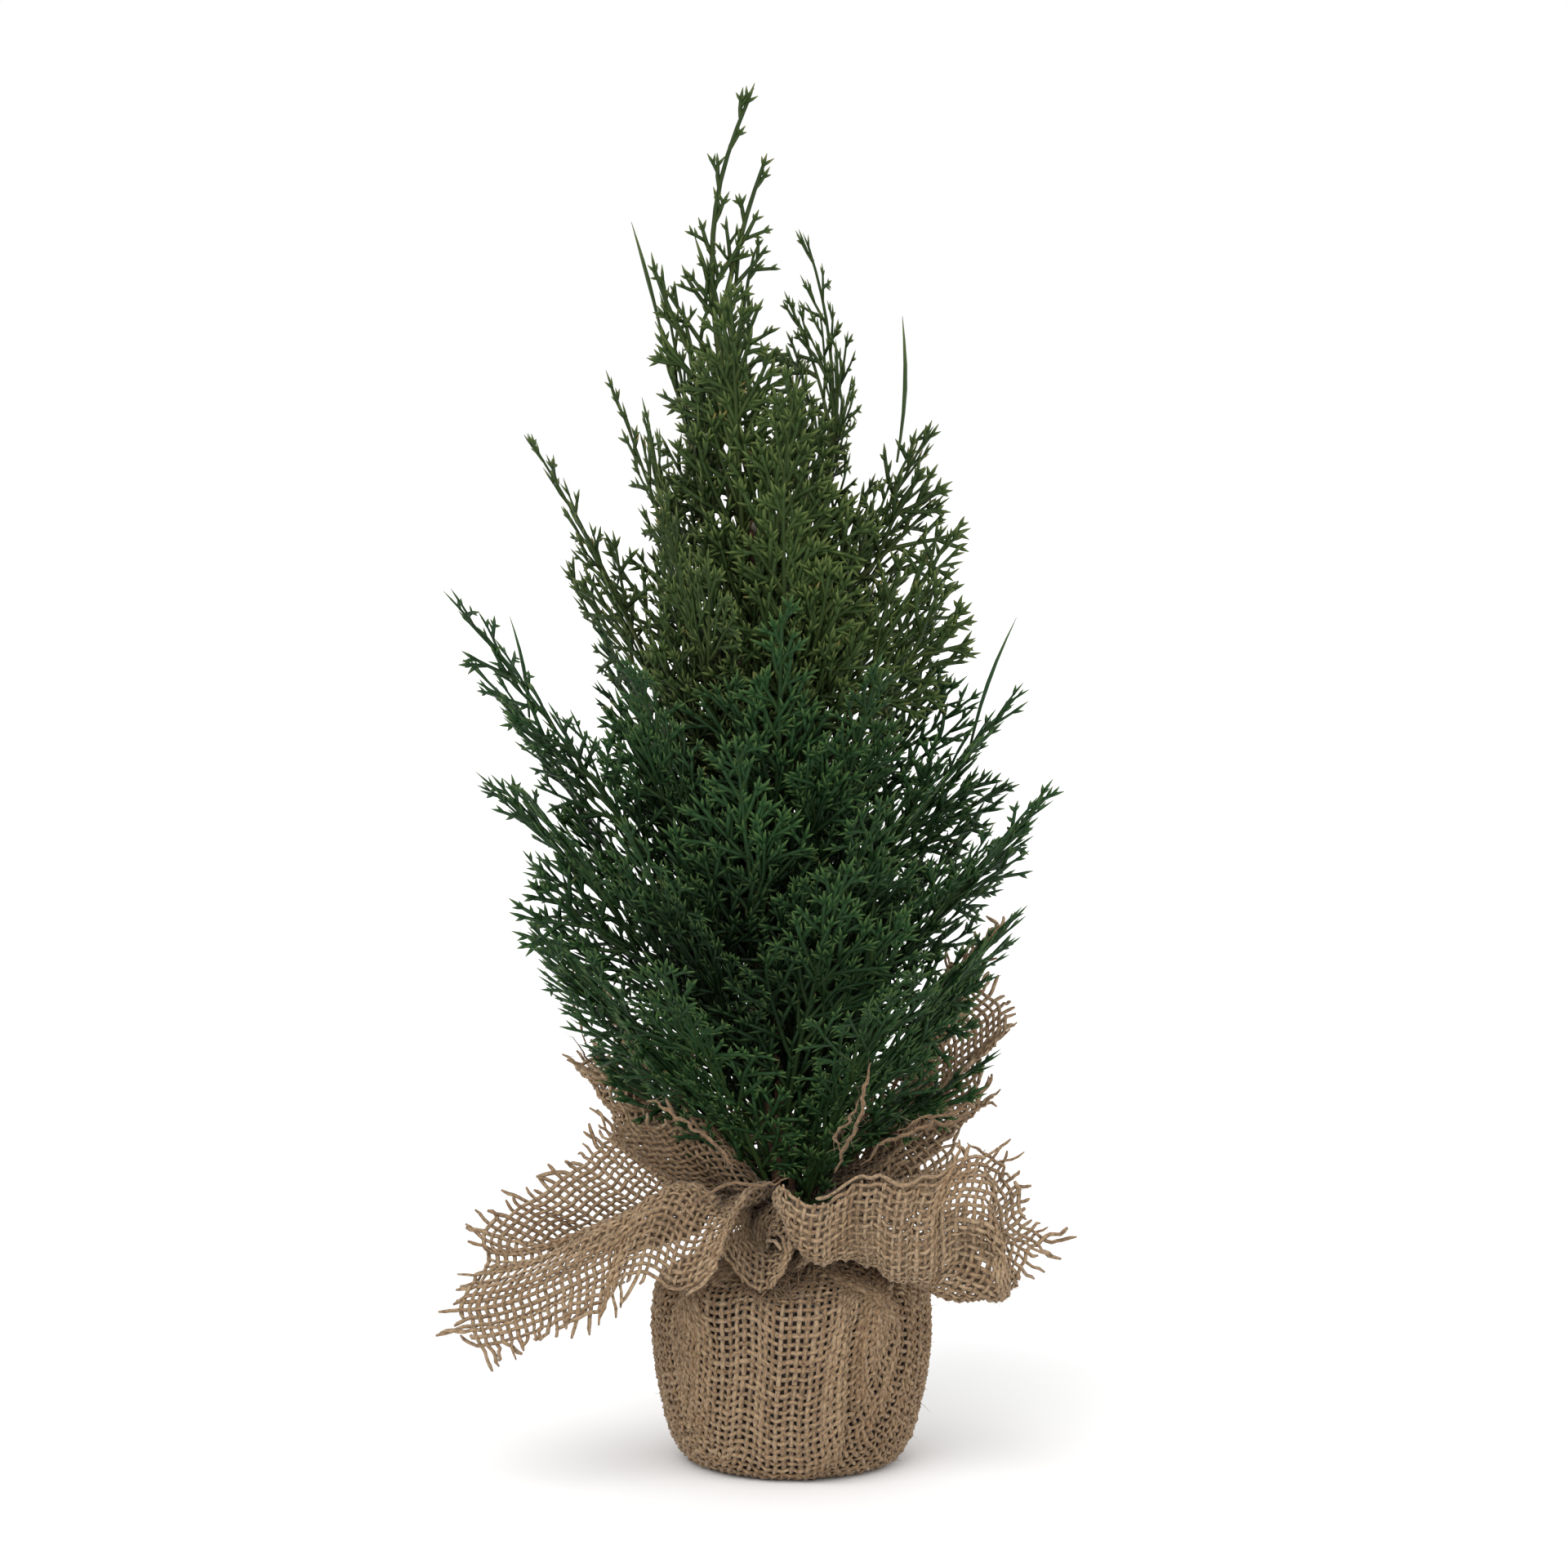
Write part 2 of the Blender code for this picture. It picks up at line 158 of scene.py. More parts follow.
def foliage_paint(name, tones):
    """Moulded polyethylene: pale leaf tips, a few dry brown ends, painted shade near stems and trunk, painted
    highlight on stems.
    """
    paint = Paint(name, 0.5)
    deep, leaf, tip, dry = (srgb(*tone) for tone in tones)
    age = paint.attribute("age")
    shade = paint.attribute("shade")
    patch = paint.span(paint.noise(42.0, 3.0), 0.38, 0.66, 0.0, 0.5)
    # painted shade: the colour darkens towards the stems and the feet of twigs
    green = paint.blend(paint.span(age, 0.05, 0.6, 0.15, 1.0), deep, leaf)
    green = paint.blend(patch, green, deep)
    green = paint.blend(paint.span(shade, 0.0, 1.0, 0.0, 0.4), green, leaf)
    pale = paint.blend(paint.span(age, 0.6, 1.0, 0.0, 0.8), green, tip)
    # painted highlight: the stems are paled towards the tip tone
    pale = paint.blend(paint.span(age, 0.05, 0.3, 0.35, 0.0), pale, tip)
    browned = paint.span(paint.noise(95.0, 1.0), 0.66, 0.74, 0.0, 0.8)
    ends = paint.calculate("MULTIPLY", browned, paint.span(age, 0.7, 1.0))
    tone = paint.blend(ends, pale, dry)
    # painted shade: the foliage darkens towards the trunk, inside the tree
    paint.set("Base Color", paint.blend(paint.painted_inner_shade(), tone, darkened(deep, 0.12)))
    paint.set("Roughness", paint.span(paint.noise(300.0, 2.0), 0.3, 0.7, 0.42, 0.6))
    paint.bump(paint.noise(900.0, 3.0), 0.35, 0.0003)
    paint.set("Specular IOR Level", 0.14)
    return paint.material


# Display values of the deep, leaf, tip and dry tones; the deep tone also gives the painted shade near stems
# and, darkened, inside the tree
GREENS = {
    "foliage_lower": ((11, 27, 11), (36, 66, 33), (78, 102, 52), (104, 82, 48)),
    "foliage_upper": ((22, 36, 13), (52, 71, 32), (98, 110, 58), (140, 108, 64)),
}
FOLIAGE = {name: foliage_paint(name, tones) for name, tones in GREENS.items()}


# ---------------- camera, floor and light

VIEW_CENTRE = Vector((-2.3 * MM, 0.0, 201.3 * MM))
VIEW_DISTANCE = 1.15
VIEW_HEIGHT = 462.0 * MM
VIEW_ELEVATION = math.radians(4.5)
FLOOR_REACH = 60.0
# Name, where it shines from, how many degrees wide it is, and its strength
LIGHTS = (("key", (-0.6, -1.1, 1.3), 45, 1.5), ("fill", (1.1, -0.9, 0.8), 80, 0.5))


def place_camera():
    scene = bpy.context.scene
    data = bpy.data.cameras.new("camera")
    data.sensor_width = 36.0
    data.lens = 36.0 * VIEW_DISTANCE / VIEW_HEIGHT
    data.clip_start = 0.05
    camera = bpy.data.objects.new("camera", data)
    back = Vector((0.0, -math.cos(VIEW_ELEVATION), math.sin(VIEW_ELEVATION)))
    camera.location = VIEW_CENTRE + back * VIEW_DISTANCE
    camera.rotation_euler = (-back).to_track_quat("-Z", "Y").to_euler()
    scene.collection.objects.link(camera)
    scene.camera = camera


def lay_floor():
    mesh = bpy.data.meshes.new("floor")
    corners = [(x * FLOOR_REACH, y * FLOOR_REACH, 0) for x, y in ((-1, -1), (1, -1), (1, 1), (-1, 1))]
    mesh.from_pydata(corners, [], [(0, 1, 2, 3)])
    floor = bpy.data.objects.new("floor", mesh)
    bpy.context.scene.collection.objects.link(floor)
    paint = Paint("floor", 0.9)
    paint.set("Base Color", (0.9, 0.9, 0.9, 1))
    mesh.materials.append(paint.material)


def light_studio():
    scene = bpy.context.scene
    world = bpy.data.worlds.new("studio")
    world.use_nodes = True
    world.node_tree.nodes["Background"].inputs["Color"].default_value = (1, 1, 1, 1)
    scene.world = world
    for name, place, softness, power in LIGHTS:
        data = bpy.data.lights.new(name, "SUN")
        data.angle = math.radians(softness)
        data.energy = power
        light = bpy.data.objects.new(name, data)
        light.location = place
        light.rotation_euler = (-Vector(place)).to_track_quat("-Z", "Y").to_euler()
        scene.collection.objects.link(light)
    scene.view_settings.view_transform = "Standard"


place_camera()
lay_floor()
light_studio()


# ---------------- meshes of many tapered tubes


class Tubes:
    """Collects tapered four-sided tubes, grouped by their number of points, and makes one mesh of them."""

    def __init__(self):
        self.batches = {}

    def add(self, points, normals, widths, ages, shade, flat=0.62):
        """One tube: its points, a normal for all or each of them, its width at each point, an age from
        0 to 1 at each point, a shade from 0 to 1, and its thickness along the normal as a share of width."""
        points = np.array([tuple(p) for p in points], float)
        normals = np.broadcast_to(np.array(normals, float), points.shape)
        batch = self.batches.setdefault(len(points), ([], [], [], [], [], []))
        for store, value in zip(batch, (points, normals, widths, ages, shade, flat)):
            store.append(value)

    def mesh(self, name, place=None):
        """place maps an array of points (n, 3) into the object's frame."""
        corners, quads, ages, shades, twine, layout = [], [], [], [], [], []
        base = 0
        total = sum(len(batch[0]) for batch in self.batches.values())
        made = 0
        for count, batch in sorted(self.batches.items()):
            points, normals, widths, age, shade, flat = (np.array(part, float) for part in batch)
            tubes = len(points)
            if place:
                moved = place(points.reshape(-1, 3))
                ahead = place((points + normals * 0.5 * MM).reshape(-1, 3))
                points = moved.reshape(points.shape)
                normals = (ahead - moved).reshape(points.shape)
            along = np.gradient(points, axis=1)
            along /= np.linalg.norm(along, axis=2, keepdims=True) + 1e-12
            side = np.cross(along, normals)
            side /= np.linalg.norm(side, axis=2, keepdims=True) + 1e-12
            normals = np.cross(side, along)
            half = widths[:, :, None] / 2
            thick = half * flat[:, None, None]
            side *= half
            normals *= thick
            ring = (points + side, points + normals, points - side, points - normals)
            corners.append(np.stack(ring, 2).reshape(-1, 3))
            ages.append(np.repeat(age.reshape(-1), 4))
            shades.append(np.repeat(shade, 4 * count))

            start = base + np.arange(tubes)[:, None] * 4 * count
            first = start[..., None] + np.arange(count - 1)[:, None] * 4
            turn = np.arange(4)
            after = (turn + 1) % 4
            walls = np.stack((first + turn, first + after, first + after + 4, first + turn + 4), 3)
            caps = start + np.array([[3, 2, 1, 0]]), start + (count - 1) * 4 + np.arange(4)
            quads += [walls.reshape(-1, 4), *caps]

            # corner values: turn about the tube, length along it in mm, and which tube it is
            run = np.cumsum(np.linalg.norm(np.diff(points, axis=1, prepend=points[:, :1]), axis=2), 1) / MM
            around = (turn[:, None] + np.array([0, 1, 1, 0])) / 4
            ahead = np.stack((run[:, :-1], run[:, :-1], run[:, 1:], run[:, 1:]), 2)[:, :, None]
            which = (made + np.arange(tubes))[:, None, None, None]
            around, length, number = np.broadcast_arrays(around, ahead, which)
            twine += [np.stack((around, length, number), 4).reshape(-1, 3), np.zeros((tubes * 8, 3))]
            # bake layout: tubes side by side in columns, as many tubes in a column as keeps them square
            columns = max(int(math.sqrt(total * count) / count + 0.999), 1)
            rows = total // columns + 1
            share = length / run[:, -1][:, None, None, None]
            across = (number // rows + 0.05 + 0.9 * around) / (total // rows + 1)
            up = (number % rows + 0.02 + 0.96 * share) / rows
            layout += [np.stack((across, up), 4).reshape(-1, 2), np.zeros((tubes * 8, 2))]
            base += tubes * count * 4
            made += tubes
        mesh = bpy.data.meshes.new(name)
        fill_mesh(mesh, corners, np.concatenate(quads))
        fill(mesh.attributes.new("age", "FLOAT", "POINT").data, "value", ages)
        fill(mesh.attributes.new("shade", "FLOAT", "POINT").data, "value", shades)
        fill(mesh.attributes.new("twine", "FLOAT_VECTOR", "CORNER").data, "vector", twine)
        fill(mesh.uv_layers.new(name="OFBake").data, "uv", layout)
        return mesh


def fill(data, key, values):
    data.foreach_set(key, np.concatenate(values).astype(np.float32).reshape(-1))


def fill_mesh(mesh, corners, quads):
    mesh.vertices.add(sum(len(part) for part in corners))
    fill(mesh.vertices, "co", corners)
    mesh.loops.add(quads.size)
    mesh.loops.foreach_set("vertex_index", quads.astype(np.int32).reshape(-1))
    mesh.polygons.add(len(quads))
    mesh.polygons.foreach_set("loop_start", np.arange(0, quads.size, 4, dtype=np.int32))
    mesh.update(calc_edges=True)


def add_piece(name, mesh, body, material, replaced=()):
    piece = bpy.data.objects.new(name, mesh)
    bpy.context.scene.collection.objects.link(piece)
    mesh.materials.append(material)
    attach(piece, body)
    if replaced:
        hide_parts(*replaced)
    return piece


# ---------------- sprays

BRANCH_SPACING = 5.2 * MM
BRANCH_REACH = 33.0 * MM
LEAFLET_SPACING = 5.3 * MM
LEAFLET_LONGEST = 13.0 * MM
PRONG_SPACING = 4.2 * MM
PRONG_LENGTH = 3.4 * MM
# Widths in mm, from the foot to the tip
STEM_FOOT = 2.3
FORK_FOOT = 1.7
STEM_ENDS = (1.35, 1.1)
BRANCH_WIDTHS = (1.5, 1.1)
LEAFLET_WIDTHS = (1.45, 1.4, 1.25)
PRONG_WIDTHS = (1.3, 1.15, 0.2)
NEEDLE_WIDTHS = (1.0, 1.3, 1.6, 1.9, 1.6, 1.0, 0.2)
# Degrees between a twig and its parent
PRONG_ANGLES = (32, 44)
LEAFLET_ANGLES = (28, 42)
BRANCH_ANGLES = (29, 43)
FORK_ANGLES = (18, 30)
NEEDLE_ANGLES = (6, 16)
UPPER_FROM = 169.0 * MM  # sprays rooted above this have the yellower green


def part_way(points, share):
    """The place at a share of a line of points, and the heading there."""
    step = share * (len(points) - 1)
    index = min(int(step), len(points) - 2)
    way = (points[index + 1] - points[index]).normalized()
    return points[index].lerp(points[index + 1], step - index), way


class Spray:
    """A cedar frond grown in its own frame: x across, y along the stem, z out of its face."""

    def __init__(
        self, seed, reach, breadth=1.0, air=0.0, taper=1.3, thin_from=1.1, fineness=1.0,
        forks=(0.1, 0.27, 0.46), tilt=1.0,
    ):
        """The longest branchlet is reach times breadth; air is how much further apart they stand at the
        tip. They shorten by taper times the share of the length that is still to go to thin_from.
        Leaflets and their points are fineness times as large as usual, forks are the shares of the length
        from which the stem forks next, and tilt is how far twigs turn out of the frond's face."""
        self.random = random.Random(seed)
        self.tubes = Tubes()
        self.reach = reach * breadth
        self.air, self.taper, self.thin_from = air, taper, thin_from
        self.fineness, self.forks, self.tilt = fineness, forks, tilt

    def angle(self, least, most):
        return math.radians(self.random.uniform(least, most))

    def run(self, start, heading, normal, length, points, curl, wander=0.06):
        """A gently curved line of points; heading turns by curl radians in all about normal."""
        places = [start.copy()]
        step = length / (points - 1)
        for _ in range(points - 1):
            turn = curl / (points - 1) + self.random.gauss(0, wander)
            heading = Quaternion(normal, turn) @ heading
            places.append(places[-1] + heading * step)
        return places, heading

    def child(self, heading, normal, side, angle, dihedral):
        """The heading and normal of a twig that leaves on one side, turned about its parent."""
        turned = Quaternion(normal, -side * angle) @ heading
        roll = Quaternion(heading, dihedral * self.tilt)
        return roll @ turned, roll @ normal

    def prong(self, foot, way, normal, reach, shade):
        reach *= self.fineness
        points = [foot - way * 0.3 * MM, foot + way * reach * 0.5, foot + way * reach]
        widths = [w * self.fineness * MM for w in PRONG_WIDTHS]
        self.tubes.add(points, normal, widths, [0.45, 0.7, 1.0], shade, 0.6)

    def prongs(self, tip, heading, normal, size, shade):
        """The end of a leaflet: a leading point with one or two shorter ones beside it."""
        draw = self.random
        hand = draw.choice((-1, 1))
        ways = [(0.15 * hand, 1.2), (-hand, 0.9)] + ([(hand, 0.7)] if draw.random() < 0.4 else [])
        for turn, share in ways:
            way = Quaternion(normal, turn * self.angle(*PRONG_ANGLES)) @ heading
            self.prong(tip, way, normal, size * share * draw.uniform(0.8, 1.25), shade)

    def leaflet(self, start, heading, normal, length, shade):
        draw = self.random
        points, end = self.run(start, heading, normal, length, 3, draw.uniform(-0.3, 0.3))
        widths = [w * self.fineness * MM for w in LEAFLET_WIDTHS]
        self.tubes.add(points, normal, widths, [0.2, 0.4, 0.55], shade)
        hand = draw.choice((-1, 1))
        at = 3.2 * MM
        while at < length - 1.4 * MM:
            foot = points[0].lerp(points[-1], at / length)
            way = Quaternion(normal, hand * self.angle(*PRONG_ANGLES)) @ heading
            self.prong(foot, way, normal, PRONG_LENGTH * draw.uniform(0.9, 1.3), shade)
            hand = -hand
            at += PRONG_SPACING * draw.uniform(0.8, 1.25)
        self.prongs(points[-1], end, normal, PRONG_LENGTH, shade)

    def branch(self, start, heading, normal, side, length):
        """A branchlet with alternate leaflets, curving up towards its parent's heading."""
        draw = self.random
        shade = draw.random()
        count = max(int(length / (3.4 * MM)) + 1, 3)
        curl = side * self.angle(4, 18)
        points, end = self.run(start, heading, normal, length, count, curl)
        widths = np.linspace(*BRANCH_WIDTHS, count) * MM
        self.tubes.add(points, normal, widths, np.linspace(0.05, 0.5, count), shade)
        at = draw.uniform(2.6, 4.2) * MM
        hand = draw.choice((-1, 1))
        while at < length - 0.8 * MM:
            share = at / length
            foot, way = part_way(points, share)
            size = min(LEAFLET_LONGEST, (1.1 - share) * length * 0.62 + 1.5 * MM) * draw.uniform(0.65, 1.25)
            angle = self.angle(*LEAFLET_ANGLES)
            aim, face = self.child(way, normal, hand, angle, draw.gauss(0, 0.12))
            self.leaflet(foot, aim, face, size, shade)
            hand = -hand
            at += LEAFLET_SPACING * draw.uniform(0.8, 1.25)
        self.prongs(points[-1], end, normal, PRONG_LENGTH * 1.1, shade)

    def needle(self, start, tip, normal):
        """A long single leaf, bowed a little."""
        draw = self.random
        bow = (tip - start).cross(normal) * draw.uniform(-0.09, 0.09)
        points = [start.lerp(tip, i / 6) + bow * math.sin(math.pi * i / 6) for i in range(7)]
        widths = [w * MM for w in NEEDLE_WIDTHS]
        self.tubes.add(points, normal, widths, np.linspace(0.1, 0.9, 7), draw.random(), 0.4)

    def stem(self, start, heading, normal, length, foot_width, level, bare=0.04, curl=0.0):
        """A stem with branchlets on both sides; a first-level stem also forks."""
        draw = self.random
        count = max(int(length / (7.0 * MM)) + 1, 4)
        points, end = self.run(start, heading, normal, length, count, curl, 0.02)
        widths = np.interp(np.linspace(0, 1, count), (0, 0.8, 1), (foot_width, *STEM_ENDS)) * MM
        self.tubes.add(points, normal, widths, np.linspace(0.0, 0.35, count), 0.2, 0.75)
        at = max(bare * length, 3.0 * MM)
        hand = draw.choice((-1, 1))
        forks = [draw.uniform(low, low + 0.1) for low in self.forks] if level == 0 else []
        while at < length - 1.5 * MM:
            share = at / length
            foot, way = part_way(points, share)
            if forks and share >= forks[0]:
                forks.pop(0)
                angle = self.angle(*FORK_ANGLES)
                aim, face = self.child(way, normal, hand, angle, draw.gauss(0, 0.45))
                reach = (length - at) * draw.uniform(0.55, 0.8) * min(1.0, 0.45 + 2 * share)
                self.stem(foot, aim, face, reach, FORK_FOOT, 1, 0.12, hand * 0.12)
            else:
                body = min(1.0, 0.72 + 1.5 * share) * min(1.0, self.taper * (self.thin_from - share))
                size = self.reach * max(body, 0.2) * draw.uniform(0.72, 1.12) * (1.0 if level == 0 else 0.72)
                size = min(max(size, 4.0 * MM), (length - at) * 0.9 + 7.0 * MM)
                angle = self.angle(*BRANCH_ANGLES) - math.radians(8 * share)
                aim, face = self.child(way, normal, hand, angle, draw.gauss(0, 0.2))
                self.branch(foot, aim, face, hand, size)
            if share < 0.55 and draw.random() < 0.03:
                angle = self.angle(*NEEDLE_ANGLES)
                aim, face = self.child(way, normal, -hand, angle, draw.gauss(0, 0.5))
                self.needle(foot, foot + aim * draw.uniform(20, 30) * MM, face)
            hand = -hand
            spread = 1.0 + self.air * share
            at += BRANCH_SPACING * draw.uniform(0.8, 1.2) * spread * (1.0 if level == 0 else 1.15)
        self.prongs(points[-1], end, normal, PRONG_LENGTH * 1.3, 0.4)


# How far a spray's middle and tip stand off its straight line, in mm towards +X.
BOWS = {
    "leader_spray": (-8.0, 16.0),
    "crown_spray_right": (13.0, -6.0),
    "crown_spray_back": (-3.0, -3.0),
    "middle_spray_left": (0.0, -4.0),
}
# How the fronds on the tree's front differ from the others, and then how single ones do
FRONT_HABIT = {"breadth": 1.1, "forks": (0.14, 0.42), "tilt": 0.5}
HABITS = {
    "leader_spray": {"breadth": 0.85, "air": 1.0, "taper": 1.9, "thin_from": 0.8, "fineness": 0.8,
                     "forks": (0.06, 0.16, 0.28)},
    "crown_spray_right": {"breadth": 1.05, "air": 1.0, "fineness": 0.85},
    "crown_spray_left": {"breadth": 0.8, "air": 0.6},
    "crown_spray_back": {"breadth": 0.7, "air": 0.5},
    "high_spray_left": {"breadth": 0.8, "air": 0.5},
    "high_spray_right": {"breadth": 1.3},
    "upper_spray_left": {"breadth": 0.9, "air": 0.5},
    "upper_spray_back_left": {"breadth": 0.95},
    "upper_spray_right": {"breadth": 1.3},
    "middle_spray_left": {"breadth": 1.05, "air": 0.3},
    "middle_spray_back_left": {"breadth": 1.2},
    "low_spray_left": {"breadth": 1.2},
    "skirt_spray_left": {"breadth": 1.2},
    "middle_spray_right": {"breadth": 1.25},
    "middle_spray_back_right": {"breadth": 1.4},
    "low_spray_right": {"breadth": 1.2},
    "low_spray_front_right": {"breadth": 1.2},
    "skirt_spray_right": {"breadth": 1.2},
    "sprig_front": {"breadth": 1.3, "forks": (0.3,), "fineness": 1.15, "tilt": 0.3},
    "skirt_spray_front": {"breadth": 1.1, "forks": (0.3,), "air": 0.2, "tilt": 0.3},
    "skirt_spray_front_right": {"breadth": 1.2},
}
# The share of its CAD piece's length that a frond's stem takes, where a long leaf or nothing follows it
STEM_SHARES = {"leader_spray": 0.965, "crown_spray_left": 0.84, "crown_spray_back": 0.7}
# Long single leaves: the share of the spray's length where one starts, and its tip (x, z) in mm
LONG_LEAVES = {
    "crown_spray_left": ((0.72, -47, 366),),
    "high_spray_right": ((0.88, 30, 338),),
    "middle_spray_right": ((0.82, 63, 250),),
    "middle_spray_left": ((0.72, -80, 250),),
    "skirt_spray_front_right": ((0.3, 19, 169), (0.42, 23, 175), (0.48, 28, 166), (0.55, 33, 160)),
}


class Stand:
    """Where a spray's CAD piece stands: its foot, its tip, its directions, its length and its width."""

    def __init__(self, joint):
        self.name = joint["child"]
        self.root = Vector(joint["pos_m"])
        axis = Vector(joint["axis"])
        self.out = Vector((axis.y, -axis.x, 0.0)).normalized()
        corners = np.array([v.co for v in NODES[self.name].data.vertices])
        away = corners - np.array(self.root)
        near = np.abs(away @ np.array(axis)) < 1.2 * MM
        far = np.linalg.norm(away, axis=1) * near
        self.tip = Vector(corners[far > far.max() - 0.8 * MM].mean(0))
        self.normal = Vector(np.linalg.svd(away - away.mean(0), full_matrices=False)[2][2])
        if self.normal.dot(self.out) < 0:
            self.normal = -self.normal
        reach = self.tip - self.root
        self.length, self.along = reach.length, reach.normalized()
        side = self.along.cross(self.normal)
        self.across = side.normalized()
        self.width = np.ptp(away @ np.array(side))

    def inside(self, place):
        """A place in the frond's own frame: across it, along it and out of its face."""
        away = place - self.root
        return Vector((away.dot(self.across), away.dot(self.along), away.dot(self.normal)))

    def bowed(self, seed):
        """A function that lays points of the frond's own frame along the spray's gently bowed line."""
        draw = random.Random(seed)
        length = self.length
        middle, end = BOWS.get(self.name, (0.0, 0.0))
        flare = 0.1 * math.sin(self.along.angle(Vector((0, 0, 1))))
        sag = -self.out * length * flare * draw.uniform(0.7, 1.1)
        sag += self.across * length * draw.uniform(-0.03, 0.03) + Vector((middle * MM, 0, 0)) * 1.3
        low = self.root + self.along * length * 0.33 + sag
        high = self.root + self.along * length * 0.68 + sag * 0.8
        tip = self.tip + Vector((end * MM, 0, 0))
        controls = np.array([list(c) for c in (self.root, low, high, tip)])
        normal = np.array(self.normal)

        def place(points):
            share = np.clip(points[:, 1] / length, -0.05, 1.25)[:, None]
            rest = 1 - share
            cross = 6 * share * rest
            centre = np.hstack((rest**3, 3 * share * rest**2, 3 * share**2 * rest, share**3)) @ controls
            slopes = (-3 * rest**2, 3 * rest**2 - cross, cross - 3 * share**2, 3 * share**2)
            tangent = np.hstack(slopes) @ controls
            tangent /= np.linalg.norm(tangent, axis=1, keepdims=True)
            side = np.cross(tangent, normal)
            side /= np.linalg.norm(side, axis=1, keepdims=True)
            return centre + side * points[:, :1] + np.cross(side, tangent) * points[:, 2:]

        return place


def build_sprays():
    for number, joint in enumerate(frame["joints"]):
        stand = Stand(joint)
        name, length = stand.name, stand.length
        reach = BRANCH_REACH * min(1.0, length / (95 * MM)) * (stand.width / (36 * MM)) ** 0.5
        habit = {**(FRONT_HABIT if "front" in name else {}), **HABITS.get(name, {})}
        spray = Spray(1000 + number, reach, **habit)
        grown = length * STEM_SHARES.get(name, 1.0) - PRONG_LENGTH * 1.3
        spray.stem(Vector((0, 0, 0)), Vector((0, 1, 0)), Vector((0, 0, 1)), grown, STEM_FOOT, 0)
        for share, x, z in LONG_LEAVES.get(name, ()):
            leaf_tip = stand.inside(Vector((x * MM, stand.root.lerp(stand.tip, share).y, z * MM)))
            spray.needle(Vector((0, length * share, 0)), leaf_tip, Vector((0, 0, 1)))
        mesh = spray.tubes.mesh(name + "_frond", stand.bowed(500 + number))
        slot = "foliage_upper" if stand.root.z > UPPER_FROM else "foliage_lower"
        add_piece(name + "_frond", mesh, name, FOLIAGE[slot], (name,))


build_sprays()

# ---------------- burlap

# The sheet: a 12.5 in square of plain weave, as its yarn crossings. All of this section is in mm. WAVE is
# how far a yarn goes over and under, SURFACE how far crossings stay off the cup, FLOOR_REST off the floor.
YARNS = 131
SHEET_SIDE = 317.5
PITCH = SHEET_SIDE / (YARNS - 1)
YARN_WIDTH = 1.24
WAVE = 0.45
SURFACE = 0.65
FLOOR_REST = 1.12
NECK_REACH = 120.0

# Where places on the flat sheet (s, t) lie in space (x, y, z), past the neck.
LAY = """
0 -158 -1 -34 63, -20 -158 -5 -40 58, -40 -158 -13 -44 56, -60 -158 -23 -48 56, -80 -158 -35 -51 56,
-100 -158 -48 -54 55, -118 -158 -59 -57 52, -138 -158 -75 -56 48, -158 -158 -90 -52 41,
-158 -138 -107 -43 53, -158 -118 -103 -34 71, -158 -98 -90 -25 86, -158 -80 -72 -17 95, -158 -60 -58 -8 103,
-158 -40 -44 0 107, -158 0 -38 15 98, -158 40 -44 24 96, -158 80 -55 32 103, -158 118 -61 39 117,
-158 158 -59 45 133, -118 158 -44 50 120, -80 158 -34 50 111, -40 158 -18 47 103, 0 158 0 45 99,
40 158 20 48 104, 80 158 40 51 118, 118 158 54 50 141, 158 158 66 44 158, 158 118 66 36 134,
158 80 60 26 110, 158 40 50 14 97, 158 0 47 2 90, 158 -40 48 -12 80, 158 -80 54 -24 70,
158 -118 59 -38 67, 158 -140 66 -41 67, 158 -158 80 -41 71, 145 -158 67 -45 76, 130 -158 61 -48 88,
115 -158 53 -51 99, 95 -158 40 -53 105, 80 -158 26 -52 104, 60 -158 9 -47 99, 40 -158 -2 -38 90,
20 -158 -3 -36 76, 20 -136 -1 -33 71, 40 -135 0 -36 68, 60 -130 9 -39 64, 90 -125 32 -46 61,
110 -110 44 -44 61, 120 -130 52 -51 77, 100 -140 36 -54 82, 70 -145 13 -50 83, 120 -80 43 -30 63,
145 -110 53 -38 67, 0 -140 -2 -24 72, -20 -135 -4 -27 75, -40 -130 -8 -26 79,
-60 -128 -15 -27 82, -80 -122 -22 -30 84, -100 -125 -34 -36 84, -120 -130 -52 -43 75, -138 -140 -76 -48 58,
-130 -100 -62 -30 68, -148 -120 -86 -36 62, -145 -80 -58 -18 84, -140 -50 -40 -6 92,
-115 115 -33 28 90, -140 140 -48 38 112, 115 115 34 28 100, 140 140 50 38 132
"""
# How headings on the flat sheet turn past the neck, in degrees
FLAT_HEADINGS = (-180, -135, -90, -45, 0, 45, 90, 135, 180)
LOBE_HEADINGS = (-180, -156, -90, -28, 2, 33, 90, 142, 180)
BAG_TWIST = -12.0  # degrees that the floor of the bag is turned against its neck
# A fold on the front of the bag rises slowly from its left and ends in a step
FOLD_HEADING = -70.0
FOLD_BREADTH = 9.0
FOLD_STEP = 1.4
FOLD_HEIGHT = 3.4
# Headings of the two front lobes, which are nearly free of pleats, and their breadths
SMOOTH_LOBES = ((-60, 24), (-128, 18))
# The bag, (radius, height) from the middle of the floor to the neck
BAG = (
    (0, 0.65), (27.5, 0.65), (32, 2.8), (35, 7.8), (36.8, 14.4), (39, 25.9), (40.4, 40),
    (40.4, 51.3), (38, 55.2), (28.8, 59.2), (18.8, 62.7), (12, 66), (12, 71.5),
)
# What the sheet rests on: the cup, its rim and the trunk
CORE = (
    (0, 1), (27.5, 1), (31.6, 3.2), (34.4, 8), (36.2, 14.5), (38.4, 26), (39.8, 40), (39.8, 51),
    (37.6, 54.5), (28.5, 58.5), (18.5, 62), (8, 65.5), (7.5, 74), (6.5, 90), (6.5, 300), (0, 300),
)
